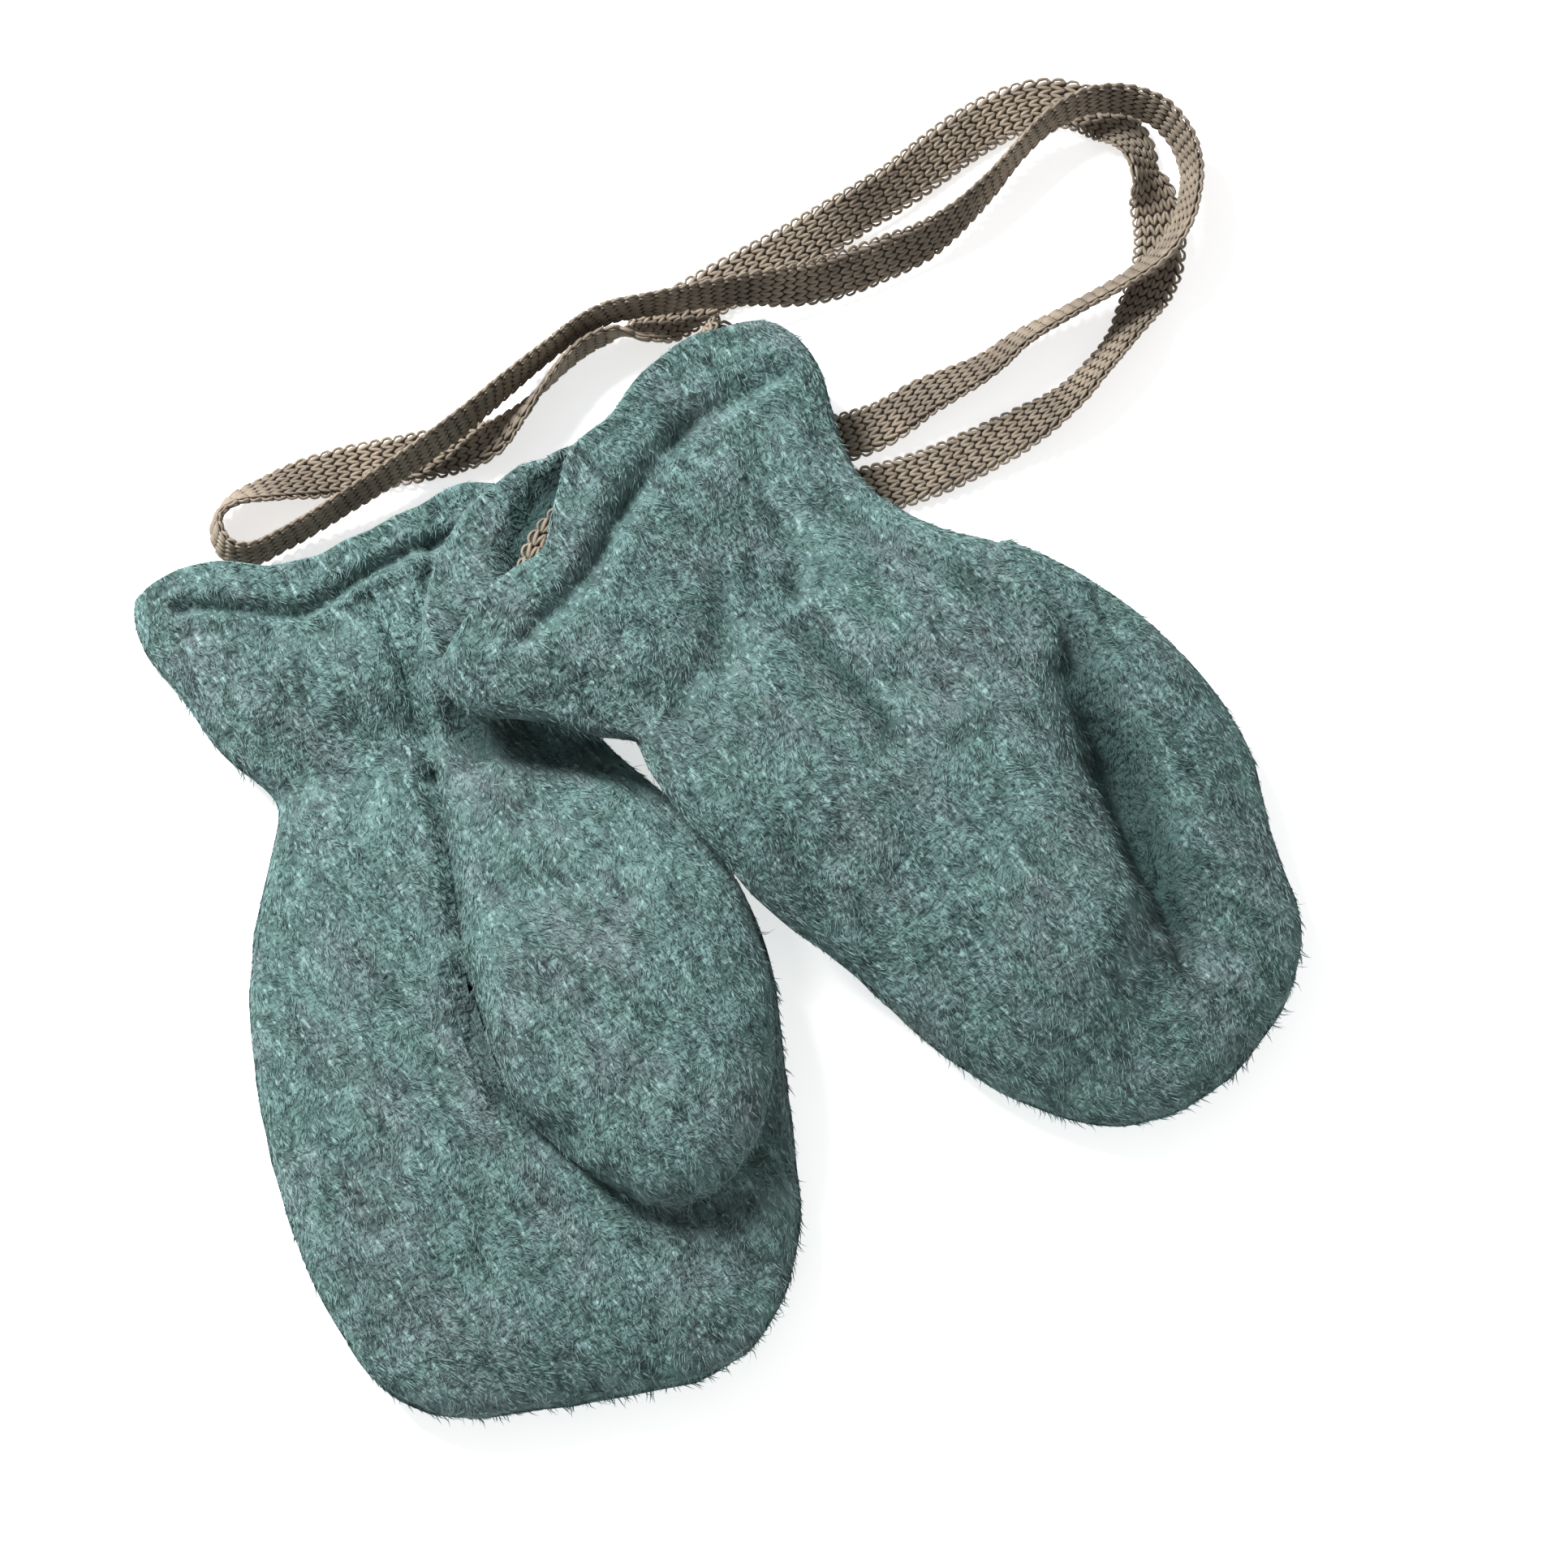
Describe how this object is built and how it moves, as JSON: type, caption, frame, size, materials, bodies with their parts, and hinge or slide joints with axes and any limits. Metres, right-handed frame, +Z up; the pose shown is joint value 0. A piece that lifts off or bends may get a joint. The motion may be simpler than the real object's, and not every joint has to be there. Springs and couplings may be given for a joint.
{
  "type": "baby mittens",
  "caption": "Pair of soft brushed wool baby mittens, one lying across the other's cuff, joined by a flat knitted tape that loops out beyond the cuffs",
  "frame": {"origin": "on the surface the mittens lie on, under the middle of the two mittens without their tape", "axes": "+Z up from the surface; +X towards the right-hand mitten, which lies across the other's cuff; +Y towards the cuffs and the tape's loop; the left-hand mitten's fingertips point to -Y"},
  "size_m": [0.1892, 0.2281, 0.0279],
  "materials": {
    "fleece": "brushed boiled wool fleece, matt, with a short combed nap",
    "tape": "flat stocking-stitch knitted tape, matt"
  },
  "bodies": {
    "root": {"left_back": "fleece", "left_palm": "fleece", "left_thumb_front": "fleece", "left_thumb_rear": "fleece", "right_back": "fleece", "right_palm": "fleece", "right_thumb_front": "fleece", "right_thumb_rear": "fleece", "tape": "tape"}
  },
  "joints": []
}
